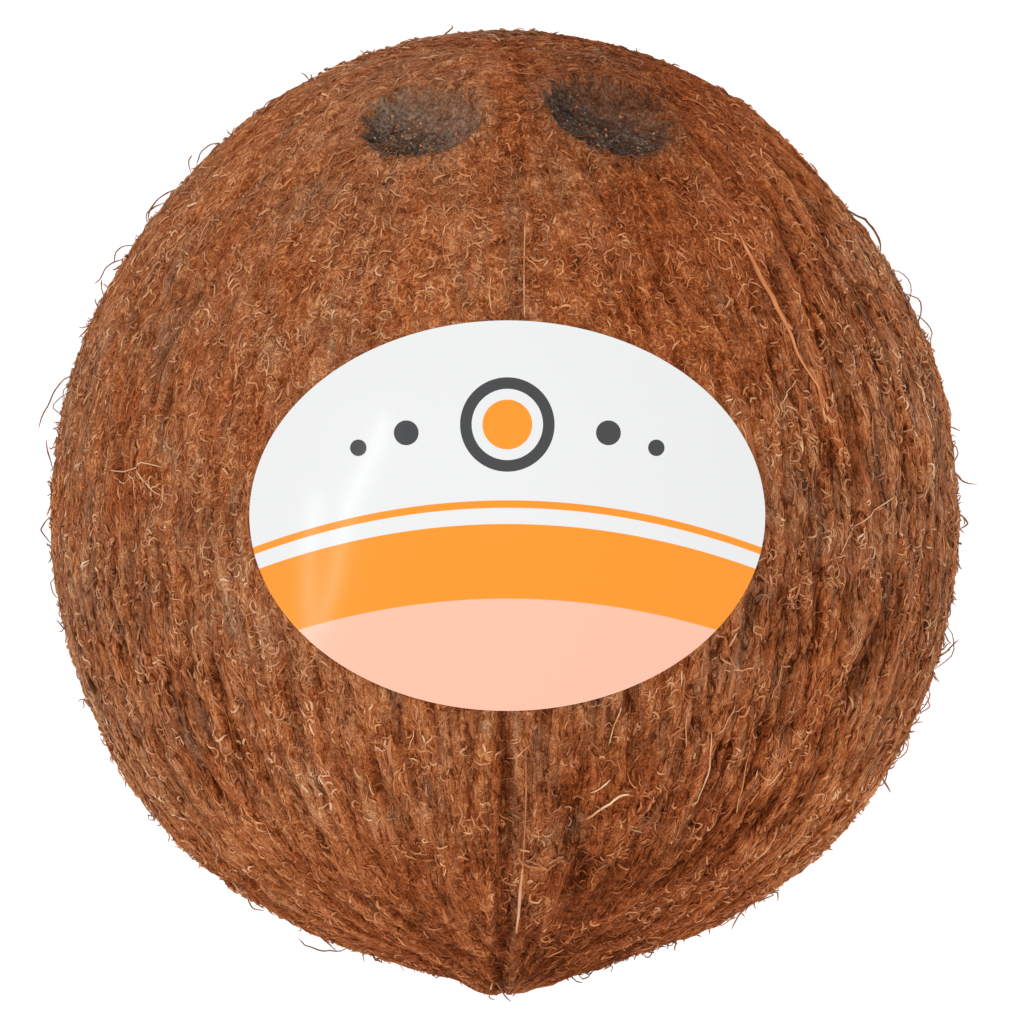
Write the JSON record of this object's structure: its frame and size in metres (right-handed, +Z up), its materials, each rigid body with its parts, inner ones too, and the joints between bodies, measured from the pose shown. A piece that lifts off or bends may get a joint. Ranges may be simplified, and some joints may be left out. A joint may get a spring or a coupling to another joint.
{
  "type": "coconut",
  "caption": "Whole ripe coconut out of its husk, with eyes at one end and a point at the other, lying on its side, with an oval paper label.",
  "frame": {"origin": "middle of the small flat spot that the coconut rests on", "axes": "+Z up, towards the label and the ridge between the two upper eyes; +Y towards the raised eye end; the point lies towards -Y"},
  "size_m": [0.1138, 0.1203, 0.1127],
  "materials": {
    "coir": "matted brown coconut fibre, rough and dry",
    "label_paper": "smooth coated paper, glossy"
  },
  "bodies": {
    "root": {"coconut": "coir", "label": "label_paper"}
  },
  "joints": []
}
